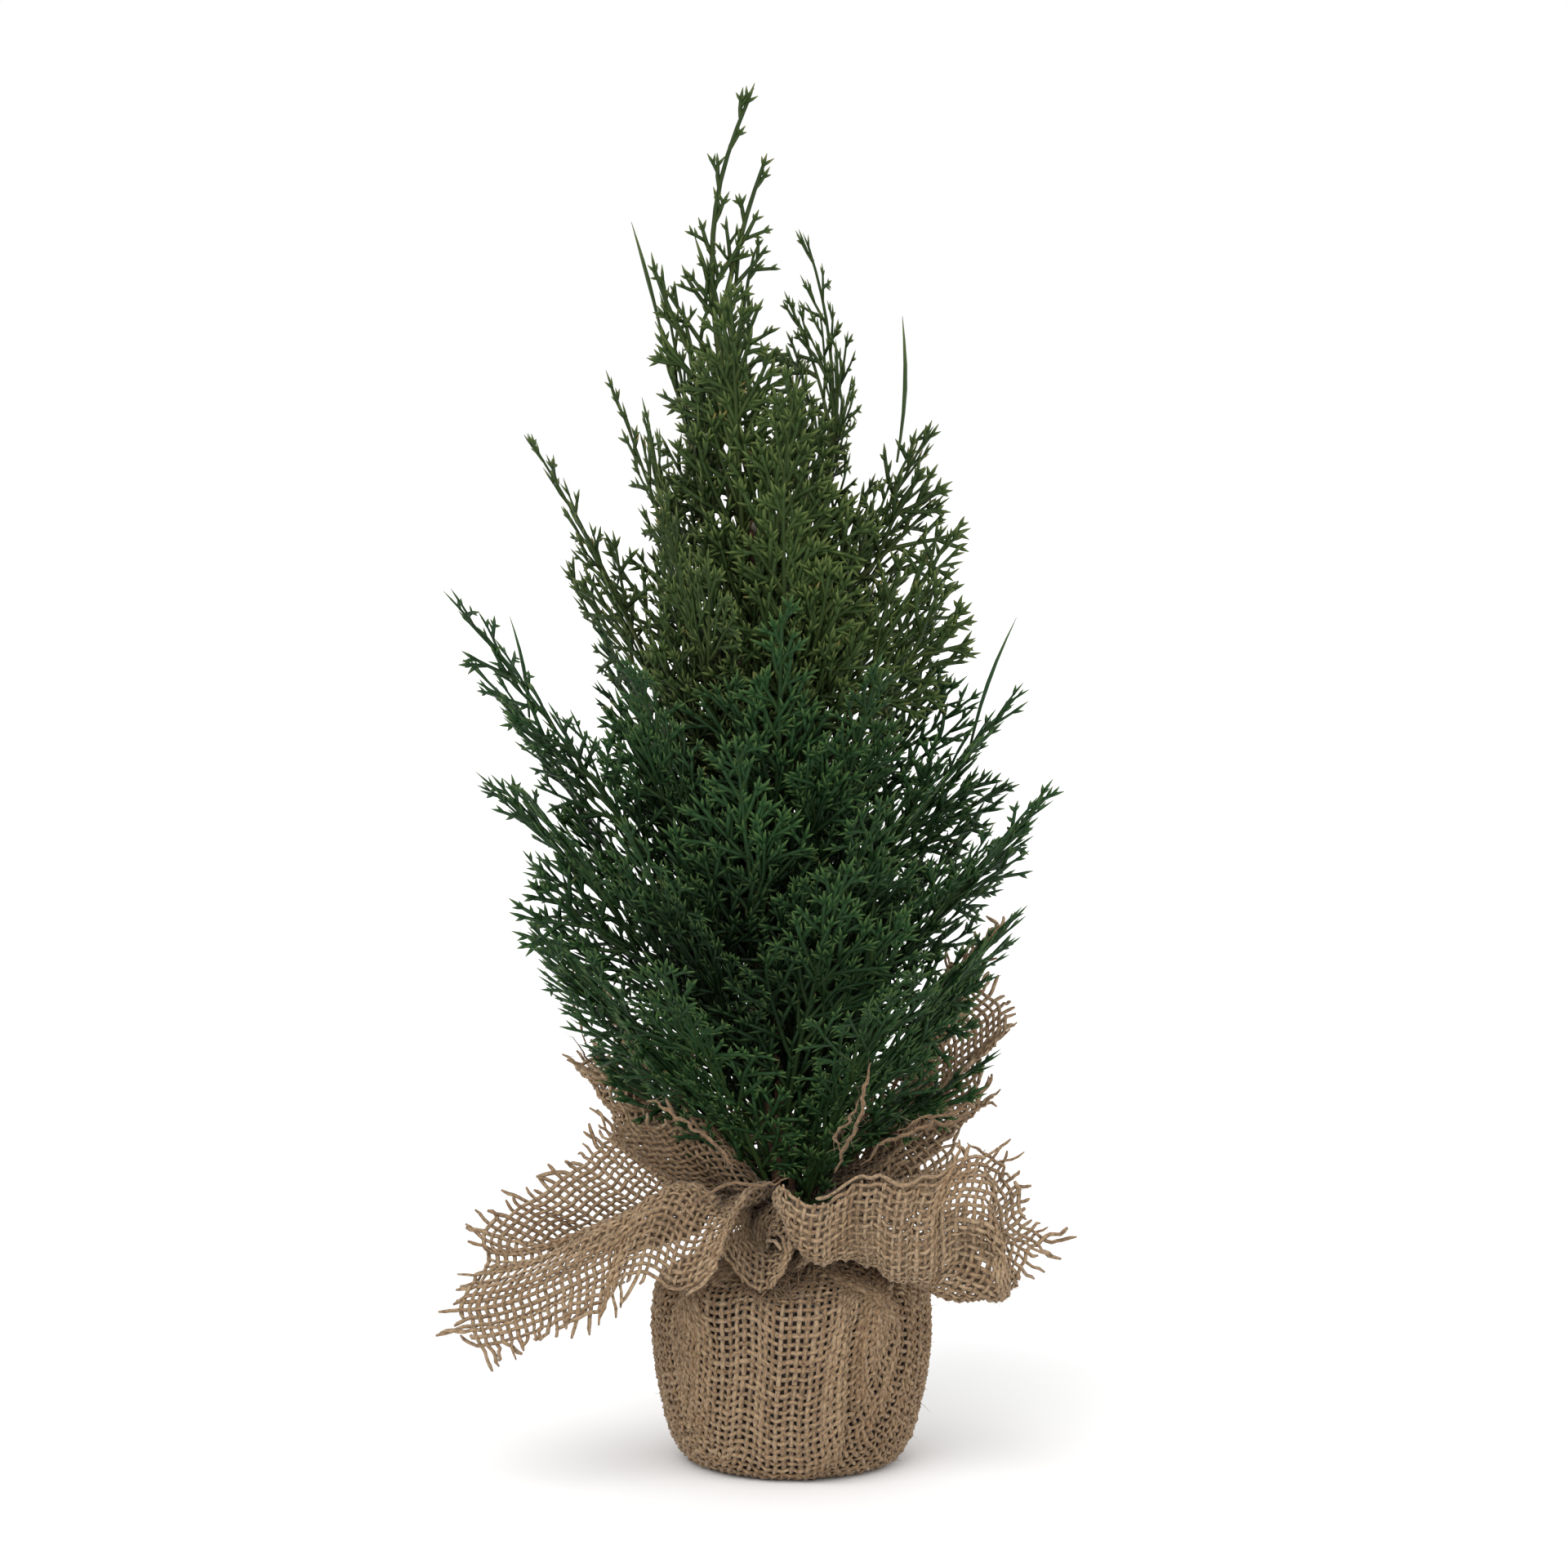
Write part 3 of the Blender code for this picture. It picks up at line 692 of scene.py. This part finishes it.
# The ring that the tie gathers: its reach on the flat sheet, its radius and its heights
RING = (112, 126)
RING_RADII = (8.3, 13.4)
RING_HEIGHTS = (65.5, 73.0)
# Where the lobes start: reach on the flat sheet, radius and height
NECK_RINGS = ((120, 12.5, 70), (127, 16, 72))
REST_STEPS = 520


def spline_through(places, values, queries):
    """A thin-plate spline through values at flat places, slightly smoothed, at the queried places."""

    def kernel(a, b):
        squared = ((a[:, None] - b[None]) ** 2).sum(2)
        return squared * np.log(np.maximum(squared, 1e-12))

    count = len(places)
    flat = np.hstack((np.ones((count, 1)), places))
    system = np.zeros((count + 3, count + 3))
    system[:count, :count] = kernel(places, places) + np.eye(count) * 8.0
    system[:count, count:] = flat
    system[count:, :count] = flat.T
    solved = np.linalg.solve(system, np.vstack((values, np.zeros((3, 3)))))
    query_flat = np.hstack((np.ones((len(queries), 1)), queries))
    return kernel(queries, places) @ solved[:count] + query_flat @ solved[count:]


def neck_reach(heading):
    """Distance on the flat sheet from its middle to the neck; the corners stretch on the bias."""
    return NECK_REACH - 3.0 * (1 - np.cos(np.radians(4 * heading)))


def lobe_heading(heading, share):
    return heading + share * (np.interp(heading, FLAT_HEADINGS, LOBE_HEADINGS) - heading)


def core_distance():
    """A table over (radius, height), in 1 mm steps from (0, -6), of the distance out of the core."""
    radius, height = np.meshgrid(np.arange(0, 140.0), np.arange(-6, 210.0), indexing="ij")
    spots = np.stack((radius.ravel(), height.ravel()), 1)
    distance = np.full(len(spots), 1e9)
    inside = np.zeros(len(spots), bool)
    outline = np.array(CORE, float)
    for a, b in zip(outline[:-1], outline[1:]):
        run = b - a
        share = np.clip((spots - a) @ run / (run @ run), 0, 1)
        distance = np.minimum(distance, np.linalg.norm(spots - a - share[:, None] * run, axis=1))
        if a[1] != b[1]:
            crossed = (a[1] > spots[:, 1]) != (b[1] > spots[:, 1])
            inside ^= crossed & (spots[:, 0] < (b[0] - a[0]) * (spots[:, 1] - a[1]) / (b[1] - a[1]) + a[0])
    return np.where(inside, -distance, distance).reshape(radius.shape)


def pull(a, b, low, high, stiffness):
    """Moves two arrays of points together or apart until they are from low to high apart."""
    rows, columns = min(a.shape[0], b.shape[0]), min(a.shape[1], b.shape[1])
    a, b = a[:rows, :columns], b[:rows, :columns]
    gap = b - a
    length = np.sqrt((gap * gap).sum(2)) + 1e-9
    excess = np.minimum(length - low, 0) + np.maximum(length - high, 0)
    gap *= (excess / length * 0.5 * stiffness)[..., None]
    a += gap
    b -= gap


def both_ways(cloth, step):
    """Pairs of points that are step crossings apart, along each of the two yarn directions."""
    for first in range(step):
        for rows in (cloth, cloth.transpose(1, 0, 2)):
            for start in (first, first + step):
                yield rows[start : -step : 2 * step], rows[start + step :: 2 * step]


def flat_places():
    """The crossings' places (s, t) on the flat sheet, their headings in degrees, and their reach from its
    middle, scaled so that the neck is NECK_REACH away all round."""
    along = (np.arange(YARNS) - (YARNS - 1) / 2) * PITCH
    s, t = np.meshgrid(along, along, indexing="ij")
    heading = np.degrees(np.arctan2(t, s))
    return s, t, heading, np.hypot(s, t) / neck_reach(heading) * NECK_REACH


def round_the_cup(heading, reach):
    """Where the sheet lies up to the neck: on the bag's outline, with its floor turned a little."""
    bag = np.array(BAG)
    arc = np.concatenate(([0], np.cumsum(np.hypot(*np.diff(bag, axis=0).T))))
    run = reach * arc[-1] / NECK_REACH
    turned = lobe_heading(heading, np.clip((reach - 85) / 35, 0, 1))
    turned = np.radians(turned + BAG_TWIST * np.clip((110 - reach) / 80, 0, 1))
    radius = np.interp(run, arc, bag[:, 0])
    return np.stack((radius * np.cos(turned), radius * np.sin(turned), np.interp(run, arc, bag[:, 1])), 2)


def past_the_neck(s, t):
    """Where the lobes lie: on a smooth surface through LAY and the rings at the neck."""
    lay = np.array([[float(word) for word in row.split()] for row in LAY.split(",")])
    rim = np.arange(-180, 180, 15.0)
    places, values = [lay[:, :2]], [lay[:, 2:]]
    for flat, wide, high in NECK_RINGS:
        out = flat * neck_reach(rim) / NECK_REACH
        places.append(np.stack((out * np.cos(np.radians(rim)), out * np.sin(np.radians(rim))), 1))
        swung = np.radians(lobe_heading(rim, 1.0))
        values.append(np.stack((wide * np.cos(swung), wide * np.sin(swung), np.full(len(rim), high)), 1))
    spots = np.stack((s.ravel(), t.ravel()), 1)
    return spline_through(np.vstack(places), np.vstack(values), spots).reshape(YARNS, YARNS, 3)


def pleat_heights(heading, reach):
    """The pleats that fan out of the neck, low in the two smooth front lobes."""
    pleats = np.sin(np.radians(heading) * 18 + 0.9 * np.sin(np.radians(heading) * 3 + 1))
    pleats *= np.interp(reach, (60, 96, 112, 122, 150, 230), (0, 0, 2.4, 3.4, 6.5, 3.0))
    pleats *= 0.25 + 0.75 * np.cos(np.radians(2 * heading)) ** 2
    for smooth, breadth in SMOOTH_LOBES:
        pleats *= 1 - 0.9 * np.exp(-(((heading - smooth) / breadth) ** 2))
    return pleats


def faces(cloth):
    """The unit normal at each crossing."""
    normal = np.cross(np.gradient(cloth, axis=0), np.gradient(cloth, axis=1))
    return normal / (np.linalg.norm(normal, axis=2, keepdims=True) + 1e-9)


def gather_sheet():
    """Lays the sheet round the cup, gathers it at the neck and lets its yarns find their lengths.

    Yarns keep their length and resist bending, and cells shear freely until their yarns touch."""
    s, t, heading, reach = flat_places()
    past = np.clip((reach - 118) / 6, 0, 1)[..., None]
    wanted = round_the_cup(heading, reach) * (1 - past) + past_the_neck(s, t) * past
    wanted += faces(wanted) * pleat_heights(heading, reach)[..., None]
    cloth = wanted + np.random.default_rng(3).normal(0, 0.03, wanted.shape)

    distance = core_distance()
    slopes = np.gradient(distance, axis=0), np.gradient(distance, axis=1)
    in_bag = reach < RING[0]
    ring = (reach > RING[0]) & (reach < RING[1])
    ring_height = np.interp(reach, RING, RING_HEIGHTS)
    loose = np.clip((reach - 122) / 20, 0, 1)
    furthest = np.interp(reach, (0, 30, 80, 100, 116), (0.75, 1.0, 1.7, 3.5, 6.0))
    for step in range(REST_STEPS):
        hold = 0.04 * (1 - step / REST_STEPS) ** 2 + 0.006
        cloth += (wanted - cloth) * (hold * loose)[..., None]
        for _ in range(2):
            for a, b in both_ways(cloth, 1):
                pull(a, b, PITCH, PITCH, 1.0)
        for start in (0, 1):
            pull(cloth[start:-1:2, :-1], cloth[start + 1 :: 2, 1:], 0.5 * PITCH, 1.95 * PITCH, 0.8)
            pull(cloth[start:-1:2, 1:], cloth[start + 1 :: 2, :-1], 0.5 * PITCH, 1.95 * PITCH, 0.8)
        for a, b in both_ways(cloth, 2):
            pull(a, b, 1.9 * PITCH, 9.0 * PITCH, 0.35)
        if step % 2 == 0:
            for arm, low, stiffness in ((4, 3.7, 0.25), (8, 7.0, 0.2)):
                for a, b in both_ways(cloth, arm):
                    pull(a, b, low * PITCH, 9.0 * PITCH, stiffness)
        cloth[..., 2] += np.where(ring, (ring_height - cloth[..., 2]) * 0.3, 0)
        keep_out(cloth, distance, slopes, in_bag, furthest)
        out = np.hypot(cloth[..., 0], cloth[..., 1])[..., None] + 1e-9
        cloth[..., :2] *= np.where(ring[..., None], np.clip(out, *RING_RADII) / out, 1)
        cloth[..., 2] = np.maximum(cloth[..., 2], FLOOR_REST)
    return cloth


def keep_out(cloth, distance, slopes, in_bag, furthest):
    """Pushes points out of the core, and draws the bag's points back to it."""
    out = np.hypot(cloth[..., 0], cloth[..., 1]) + 1e-9
    radius = np.clip(out, 0, distance.shape[0] - 1.01)
    height = np.clip(cloth[..., 2] + 6, 0, distance.shape[1] - 1.01)
    i, j = radius.astype(int), height.astype(int)
    u, v = radius - i, height - j

    def look(table):
        near = table[i, j] * (1 - u) + table[i + 1, j] * u
        return near * (1 - v) + (table[i, j + 1] * (1 - u) + table[i + 1, j + 1] * u) * v

    away, slope_r, slope_z = look(distance), look(slopes[0]), look(slopes[1])
    size = np.hypot(slope_r, slope_z) + 1e-9
    turned = np.degrees(np.arctan2(cloth[..., 1], cloth[..., 0]))
    breadth = np.where(turned < FOLD_HEADING, FOLD_BREADTH, FOLD_STEP)
    ridge = FOLD_HEIGHT * np.exp(-(((turned - FOLD_HEADING) / breadth) ** 2))
    ridge *= np.interp(cloth[..., 2], (3, 10, 50, 56), (0, 1, 1, 0)) * in_bag
    push = np.maximum(SURFACE + ridge - away, 0)
    push -= np.where(in_bag, np.maximum(away - furthest - ridge, 0) * 0.5, 0)
    push /= size
    cloth[..., 0] += cloth[..., 0] / out * slope_r * push
    cloth[..., 1] += cloth[..., 1] / out * slope_r * push
    cloth[..., 2] += slope_z * push


def halfway(points):
    """The points with one more, on a smooth curve, between each two."""
    before = np.vstack((2 * points[:1] - points[1:2], points[:-2]))
    after = np.vstack((points[2:], 2 * points[-1:] - points[-2:-1]))
    between = (9 * (points[:-1] + points[1:]) - before - after) / 16
    woven = np.empty((2 * len(points) - 1, points.shape[1]))
    woven[::2], woven[1::2] = points, between
    return woven


FRINGE = 3  # yarns lost at each edge; of the last of them pieces are left
CROPPED = (-92.0, 104.0)  # the front edge has no fringe between these, in mm from its middle


def weave(cloth):
    """Over-and-under yarns through the crossings, with unravelled edges."""
    normal = faces(cloth)
    draws = np.random.default_rng(11)
    tubes = Tubes()
    strands = []
    flat = (np.arange(YARNS) - (YARNS - 1) / 2) * PITCH
    for way, axes in enumerate(((0, 1, 2), (1, 0, 2))):
        rows, row_normals = cloth.transpose(axes), normal.transpose(axes)
        for number in range(FRINGE - 1, YARNS - FRINGE + 1):
            parity = np.where((np.arange(YARNS) + number + way) % 2, 1.0, -1.0)
            points = halfway(rows[number] + row_normals[number] * (parity * WAVE)[:, None])
            normals = halfway(row_normals[number])
            count = len(points)
            run = np.hypot(*np.broadcast_arrays(flat[number], halfway(flat[:, None])[:, 0]))
            stretch = np.interp(run, (95, 125), (1.14, 0.96))
            slub = np.interp(np.arange(count), np.arange(0, count + 8, 8), draws.normal(0, 1, count // 8 + 2))
            # loose ends: bent more the further they are past the last crossing yarn
            for end in (0, 1):
                index = np.arange(count) if end == 0 else np.arange(count)[::-1]
                past = np.clip(FRINGE - 0.2 - index / 2, 0, FRINGE)[:, None]
                bend = draws.normal(0, 1, 3) * 0.55
                points = points + bend * past**1.5 + draws.normal(0, 0.12, (count, 3)) * np.minimum(past, 1)
            first = int(draws.choice((0, 0, 1, 1, 2, 3)))
            final = count - int(draws.choice((0, 0, 1, 1, 2, 3)))
            if way == 0 and CROPPED[0] < flat[number] < CROPPED[1]:
                first += 2 * FRINGE - 1
            spans = [(first, final)]
            if number in (FRINGE - 1, YARNS - FRINGE):
                spans, at = [], int(draws.integers(0, 30))
                while at < count - 12:
                    length = int(draws.integers(10, 60))
                    spans.append((max(at, 4), min(at + length, count - 4)))
                    at += length + int(draws.integers(10, 50))
            shade = draws.uniform(0, 1)
            for start, stop in spans:
                if stop - start < 5:
                    continue
                part = slice(start, stop)
                width = YARN_WIDTH * stretch[part] * (1 + 0.12 * slub[part] + 0.08 * draws.normal())
                width = np.clip(width, 0.95, 1.9)
                width[[0, -1]] *= 0.6
                ages = np.clip(0.5 + 0.22 * slub[part], 0, 1)
                tubes.add(points[part] * MM, normals[part], width * MM, ages, shade, 0.82)
                strands.append(points[part])
    return tubes, strands


def fibre(foot, heading, bend, length, steps):
    """A line of points whose heading turns by the same bend at each step."""
    points = [foot]
    for _ in range(steps):
        heading = heading / np.linalg.norm(heading) + bend
        points.append(points[-1] + heading / np.linalg.norm(heading) * length / steps)
    return np.array(points)


FUZZ_FIBRES = 4200
FUZZ_ON_STRAYS = 12  # times as many fibres on a loose yarn as on a woven one


def fuzz(strands):
    """Short fine fibres that stand off the yarns."""
    draws = np.random.default_rng(29)
    tubes = Tubes()
    joined = np.concatenate([strand[1:-1] for strand in strands])
    ahead = np.concatenate([strand[2:] - strand[1:-1] for strand in strands])
    for index in draws.integers(0, len(joined), FUZZ_FIBRES):
        foot, way = joined[index], ahead[index] / (np.linalg.norm(ahead[index]) + 1e-9)
        out = draws.normal(0, 1, 3)
        heading = way * draws.choice((-1, 1)) * 0.9 + out / np.linalg.norm(out) * 0.8
        length = draws.uniform(1.6, 5.0)
        points = fibre(foot, heading, draws.normal(0, 0.35, 3), length, 4)
        points[:, 2] = np.maximum(points[:, 2], 0.2)
        widths = np.array((0.13, 0.12, 0.1, 0.08, 0.05)) * draws.uniform(0.8, 1.3)
        tubes.add(points * MM, (out[1], -out[0], 0.3), widths * MM, [0.5] * 5, draws.uniform(0, 1), 0.8)
    return tubes


# Loose yarns drawn out of the weave: width and route in mm
STRAYS = (
    (0.8, (-59, 44, 133), (-62, 44, 140), (-66.5, 44, 141), (-68, 44, 135), (-65, 43, 124), (-60, 40, 113)),
    (0.5, (-67, 43, 120), (-64, 43, 115), (-60, 42, 109), (-56, 41, 103)),
    (1.0, (-42, -36, 113), (-37, -39, 111.5), (-30, -42, 107), (-24, -43, 103), (-19, -42, 98),
     (-16, -40, 92)),
    (1.1, (12, -38, 93), (15, -41, 99), (18, -44, 106), (20, -45, 112), (20.5, -45, 118), (22.5, -45, 125)),
    (0.9, (14, -40, 98), (13, -41, 104), (17, -43, 109), (19, -44, 114)),
    (1.1, (52, -42, 111), (46, -45, 108), (40, -47, 108.5), (33, -48, 105), (26, -46, 102), (20, -43, 96)),
    (0.9, (30, -46, 106), (38, -48, 110), (46, -47, 111), (53, -46, 114)),
    (1.1, (50, -44, 102), (55, -46, 99), (60, -46, 95), (59, -45, 90)),
    (0.9, (-31, -54, 84), (-24, -54, 89), (-15, -51, 92), (-8, -46, 90), (-1, -40, 91)),
)
TUFT_FIBRES = 190


def stray_yarns():
    """Loose yarns, and tufts of fibres on the front of the neck."""
    draws = np.random.default_rng(41)
    tubes = Tubes()
    strands = []
    for width, *route in STRAYS:
        points = halfway(halfway(np.array(route, float)))
        points = halfway(points + draws.normal(0, 0.35, points.shape))
        count = len(points)
        points = points + draws.normal(0, 0.08, points.shape)
        widths = width * (1 + 0.15 * draws.normal(0, 1, count))
        widths *= np.interp(np.arange(count), (0, 8, count - 9, count - 1), (0.4, 1, 1, 0.3))
        strands.append(points)
        tubes.add(points * MM, (0, -1, 0.2), widths * MM, [0.5] * count, draws.uniform(0, 1), 0.85)
    for _ in range(TUFT_FIBRES):
        turn = math.radians(draws.normal(-95, 10))
        radius = draws.uniform(27, 40)
        height = np.interp(radius, (23, 28.8, 38, 40), (63.5, 61.5, 58, 54))
        foot = np.array((radius * math.cos(turn), radius * math.sin(turn), height))
        heading = draws.normal(0, 1, 3) + (0, -0.5, 0.4)
        bend = draws.normal(0, 0.5, 3)
        points = fibre(foot, heading, bend, draws.uniform(4, 13), 7)
        widths = np.linspace(1, 0.4, 8) * draws.choice((0.18, 0.3, 0.5))
        tubes.add(points * MM, (0, -1, 0.2), widths * MM, [0.5] * 8, draws.uniform(0, 1), 0.85)
    return tubes, strands


def burlap_paint(name, *tones):
    """Jute yarn: a different tone for each yarn, lighter and darker fibre streaks that twist along it, and
    painted shade in the gathers at the neck.
    """
    paint = Paint(name, 0.88)
    dark, mid, pale = (srgb(*tone) for tone in tones)
    twine = paint.mapped(paint.attribute("twine", "Vector"), (5.0, 0.8, 3.7), (0, 0, 0.35))
    fibre = paint.noise(1.0, 3.0, twine)
    tone = paint.blend(paint.attribute("shade"), mid, pale)
    tone = paint.blend(paint.span(paint.noise(22.0, 2.0), 0.35, 0.65, 0.0, 0.6), tone, mid)
    tone = paint.blend(paint.span(fibre, 0.3, 0.55, 0.85, 0.0), tone, dark)
    tone = paint.blend(paint.span(fibre, 0.58, 0.75, 0.0, 0.7), tone, pale)
    # painted shade: the jute darkens deep in the gathers at the neck
    paint.set("Base Color", paint.blend(paint.painted_neck_shade(), tone, darkened(dark, 0.45)))
    paint.set("Roughness", paint.span(fibre, 0.3, 0.7, 0.95, 0.8))
    paint.bump(fibre, 0.6, 0.0004)
    paint.set("Specular IOR Level", 0.2)
    paint.set("Sheen Weight", 0.15)
    return paint.material


def build_burlap():
    cloth = gather_sheet()
    yarns, strands = weave(cloth)
    loose, loose_strands = stray_yarns()
    jute = burlap_paint("jute", (76, 56, 36), (138, 112, 84), (168, 145, 116))
    sheet = add_piece("burlap_weave", yarns.mesh("burlap_weave"), "base", jute, ("burlap_wrap",))
    fibres = fuzz(strands + FUZZ_ON_STRAYS * loose_strands)
    hairs = add_piece("burlap_fuzz", fibres.mesh("burlap_fuzz"), "base", jute)
    # painted shade: the loose yarns and tufts get a darker copy of the jute
    brown = burlap_paint("jute_stray_painted_shade", (66, 47, 30), (112, 86, 60), (142, 116, 88))
    strays = add_piece("burlap_strays", loose.mesh("burlap_strays"), "base", brown)
    for piece in (sheet, strays):
        piece.data.polygons.foreach_set("use_smooth", np.ones(len(piece.data.polygons), bool))


build_burlap()

# ---------------- pot, trunk and bindings


def mottled(name, dark, pale, roughness, grain, depth=0.3, metallic=0.0, stretch=None):
    """A solid material whose tone, gloss and relief vary with one cloudy noise."""
    paint = Paint(name, roughness, metallic)
    place = paint.mapped(paint.place, stretch) if stretch else paint.place
    cloud = paint.noise(grain, 4.0, place)
    paint.set("Base Color", paint.blend(paint.span(cloud, 0.35, 0.65), srgb(*dark), srgb(*pale)))
    gloss = paint.noise(grain * 3, 2.0, place)
    paint.set("Roughness", paint.span(gloss, 0.3, 0.7, roughness - 0.08, roughness + 0.08))
    paint.bump(cloud, depth, 0.0003)
    return paint.material


def tape_paint():
    """Stretched paper tape, wound in slanting crinkled turns."""
    paint = Paint("tape", 0.75)
    slanted = paint.mapped(paint.place, rotation=(0.3, 0.35, 0))
    # its place, scale, distortion, detail and detail scale
    turns = paint.node("ShaderNodeTexWave", slanted, 48.0, 2.0, 2.0, 3.0, bands_direction="Z").outputs["Fac"]
    crinkle = paint.noise(420.0, 4.0, paint.mapped(paint.place, (1, 1, 3)))
    tone = paint.blend(paint.span(crinkle, 0.35, 0.65), srgb(62, 42, 27), srgb(112, 80, 54))
    tone = paint.blend(paint.span(turns, 0.0, 0.25, 0.7, 0.0), tone, srgb(40, 27, 18))
    paint.set("Base Color", tone)
    paint.bump(paint.calculate("ADD", turns, crinkle), 0.6, 0.0005)
    return paint.material


def paint_carried_over():
    tape = tape_paint()
    glue = mottled("glue", (150, 148, 132), (196, 192, 176), 0.25, 160.0, 0.2)
    drawn = (1, 1, 0.05)  # the steel's grain runs along the wire
    steel = mottled("steel", (120, 120, 122), (160, 160, 160), 0.38, 300.0, 0.2, 1.0, drawn)
    paints = {
        "pot_cup": mottled("cup_plastic", (58, 42, 29), (78, 58, 40), 0.6, 60.0),
        "cement_weight": mottled("cement", (120, 114, 104), (164, 158, 146), 0.9, 260.0, 0.8),
        "trunk_rod": steel,
        "trunk_wrap": tape,
        "glue_collar": glue,
        "glue_bead": glue,
        "neck_tie": mottled("tie", (40, 34, 26), (62, 52, 40), 0.55, 400.0, 0.4),
    }
    for name, node in NODES.items():
        material = tape if name.startswith("binding_band") else paints.get(name)
        if material:
            node.data.materials.clear()
            node.data.materials.append(material)


paint_carried_over()
